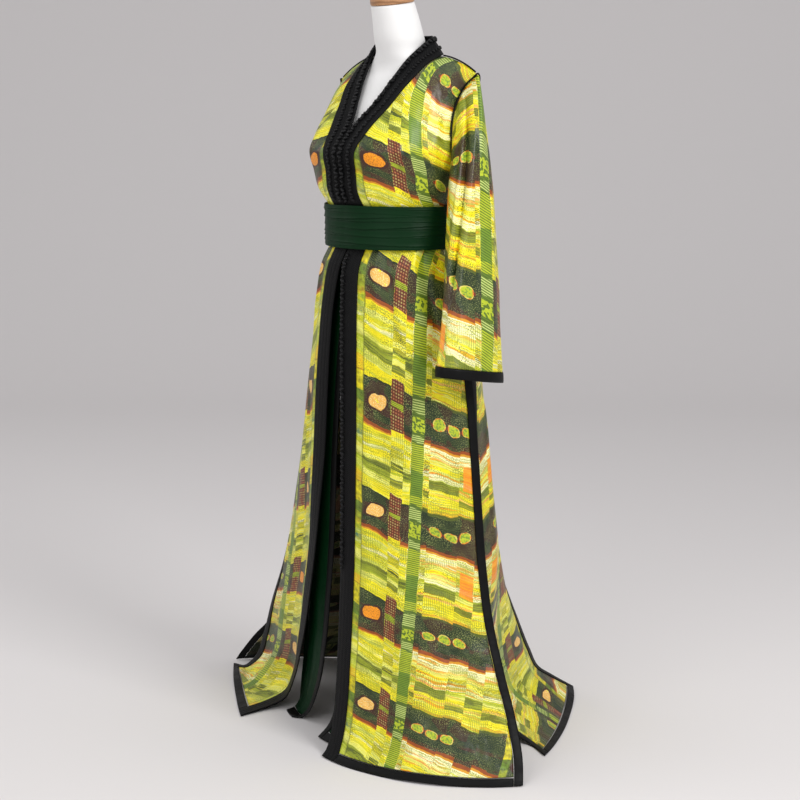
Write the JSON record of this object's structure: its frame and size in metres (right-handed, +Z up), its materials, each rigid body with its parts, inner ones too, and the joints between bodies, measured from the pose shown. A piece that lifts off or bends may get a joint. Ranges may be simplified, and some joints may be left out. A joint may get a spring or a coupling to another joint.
{
  "type": "kaftan and dress form",
  "caption": "Floor-length printed satin moroccan kaftan with black braided trim and a wide pleated belt, standing on a limbless white dress form with a round base.",
  "frame": {"origin": "centre of the stand base's underside, on the floor, on the axis of the dress form", "axes": "+Z up the stand's axis, -Y the way the wearer faces, +X towards the wearer's left"},
  "size_m": [1.0463, 0.7267, 1.5497],
  "materials": {
    "printed_satin": "printed satin",
    "black_braid": "braided silk",
    "black_satin": "satin",
    "belt_green": "pleated satin",
    "under_skirt_green": "satin",
    "form_white": "matt",
    "cap_wood": "varnished",
    "stand_metal": "satin"
  },
  "bodies": {
    "root": {"front_left": "printed_satin", "front_right": "printed_satin", "back_left": "printed_satin", "back_right": "printed_satin", "sleeve_left": "printed_satin", "sleeve_right": "printed_satin", "front_trim_left": "black_braid", "front_trim_right": "black_braid", "knot_row_left": "black_braid", "knot_row_right": "black_braid", "knot_row_lower": "black_braid", "binding_front_left": "black_satin", "binding_front_right": "black_satin", "binding_back_left": "black_satin", "binding_back_right": "black_satin", "cuff_left": "black_satin", "cuff_right": "black_satin", "under_binding_left": "black_satin", "under_binding_right": "black_satin", "shoulder_piping_left": "black_satin", "shoulder_piping_right": "black_satin", "armhole_piping_left": "black_satin", "armhole_piping_right": "black_satin", "belt": "belt_green", "under_skirt_left": "under_skirt_green", "under_skirt_right": "under_skirt_green", "dress_form": "form_white", "neck_cap": "cap_wood", "stand_pole": "stand_metal", "stand_base": "stand_metal"}
  },
  "joints": []
}
